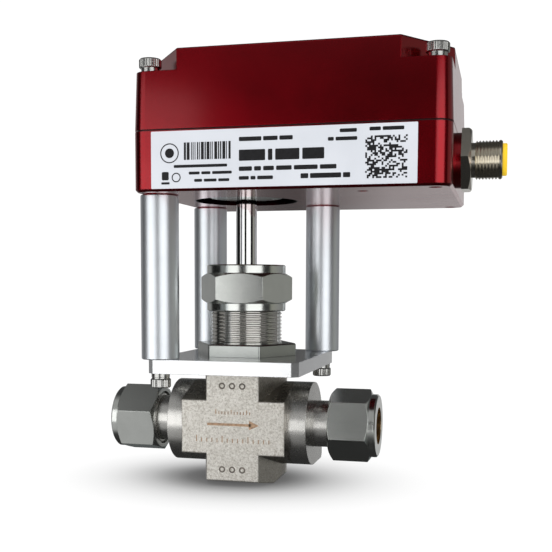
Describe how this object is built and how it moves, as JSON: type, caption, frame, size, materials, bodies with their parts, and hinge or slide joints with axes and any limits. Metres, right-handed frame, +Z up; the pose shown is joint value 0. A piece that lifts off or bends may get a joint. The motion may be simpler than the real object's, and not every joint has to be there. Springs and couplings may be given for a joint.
{
  "type": "motorized valve actuator",
  "caption": "Electric actuator in a two-part aluminium case on posts, driving the stem of an in-line needle valve with compression tube ends.",
  "frame": {"origin": "where the valve stem's axis crosses the common axis of the two tube ports", "axes": "+X along the tube ports towards the electrical connector, +Y to the back, away from the label, +Z up along the stem"},
  "size_m": [0.1378, 0.0848, 0.1437],
  "materials": {
    "anodised_case": "satin red anodised aluminium",
    "forged_steel": "sand-textured forged stainless steel",
    "machined_steel": "turned and milled stainless steel",
    "polished_steel": "ground and polished steel",
    "fastener_steel": "plain stainless fasteners",
    "plate_aluminium": "milled clear-anodised aluminium",
    "post_aluminium": "satin turned aluminium",
    "label_film": "printed polyester film",
    "connector_nickel": "nickel-plated brass",
    "connector_plastic": "moulded yellow plastic",
    "contact_gold": "gold-plated contacts",
    "gasket_rubber": "black rubber",
    "packing_polymer": "white packing polymer",
    "gear_brass": "hobbed brass",
    "gear_steel": "hobbed steel",
    "bush_bronze": "sintered bronze",
    "black_screw": "black oxide steel",
    "motor_metal": "plated steel",
    "sensor_plastic": "moulded blue-black plastic",
    "board_laminate": "green solder-masked laminate",
    "terminal_plastic": "moulded green plastic",
    "component_plastic": "moulded black component bodies"
  },
  "bodies": {
    "frame": {"valve_body": "forged_steel", "packing_support_washer": "machined_steel", "packing_rings": "packing_polymer", "packing_gland": "machined_steel", "packing_nut": "machined_steel", "panel_nut": "machined_steel", "tube_nut_left": "machined_steel", "tube_nut_right": "machined_steel", "front_ferrule_left": "machined_steel", "front_ferrule_right": "machined_steel", "back_ferrule_left": "machined_steel", "back_ferrule_right": "machined_steel", "mounting_plate": "plate_aluminium", "support_post_front_left": "post_aluminium", "support_post_rear_left": "post_aluminium", "support_post_rear_right": "post_aluminium", "plate_screws": "fastener_steel", "lock_washers": "fastener_steel", "post_studs": "fastener_steel", "lower_case": "anodised_case", "upper_cover": "anodised_case", "cover_gasket": "gasket_rubber", "cover_screws": "fastener_steel", "rating_label": "label_film", "connector_shell": "connector_nickel", "connector_seal": "gasket_rubber", "connector_locknut": "connector_nickel", "connector_insert": "connector_plastic", "connector_pins": "contact_gold", "idler_spindle": "polished_steel", "bearing_outer_rings": "polished_steel", "bearing_balls": "polished_steel", "bearing_housing": "plate_aluminium", "housing_screws": "fastener_steel", "gear_deck": "plate_aluminium", "deck_standoffs": "post_aluminium", "deck_screws": "fastener_steel", "motor_gearbox": "motor_metal", "motor_can": "motor_metal", "motor_terminals": "bush_bronze", "motor_screws": "fastener_steel", "position_sensor": "sensor_plastic", "control_board": "board_laminate", "board_standoffs": "gear_brass", "board_screws": "fastener_steel", "terminal_block": "terminal_plastic", "board_components": "component_plastic"},
    "hub": {"output_hub": "machined_steel", "output_gear": "gear_brass", "gear_screws": "fastener_steel", "hub_set_screws": "black_screw", "bearing_inner_rings": "polished_steel", "hub_retaining_ring": "black_screw"},
    "stem": {"valve_stem": "polished_steel"},
    "idler": {"idler_gear": "gear_brass", "idler_bush": "bush_bronze"},
    "pinion": {"motor_pinion": "gear_steel", "motor_shaft": "polished_steel"},
    "sensor": {"sensor_gear": "gear_brass", "sensor_shaft": "polished_steel"}
  },
  "joints": [
    {"name": "hub_turn", "type": "hinge", "parent": "frame", "child": "hub", "pos_m": [0, 0, 0.0857], "axis": [0, 0, 1], "range_deg": [0, 1620]},
    {"name": "stem_lift", "type": "slide", "parent": "hub", "child": "stem", "axis": [0, 0, 1], "range_m": [0, 0.00571]},
    {"name": "idler_turn", "type": "hinge", "parent": "frame", "child": "idler", "pos_m": [0.037, 0, 0.0857], "axis": [0, 0, 1], "range_deg": [-2376, 0]},
    {"name": "pinion_turn", "type": "hinge", "parent": "frame", "child": "pinion", "pos_m": [0.05462, 0.01478, 0.0857], "axis": [0, 0, 1], "range_deg": [0, 4455]},
    {"name": "sensor_turn", "type": "hinge", "parent": "frame", "child": "sensor", "pos_m": [0.02057, -0.02451, 0.0857], "axis": [0, 0, 1], "range_deg": [-3564, 0]}
  ],
  "couplings": [
    {"joint": "stem_lift", "follows": "hub_turn", "m_per_rad": 0.00020213},
    {"joint": "idler_turn", "follows": "hub_turn", "ratio": -1.4667},
    {"joint": "pinion_turn", "follows": "hub_turn", "ratio": 2.75},
    {"joint": "sensor_turn", "follows": "hub_turn", "ratio": -2.2}
  ]
}
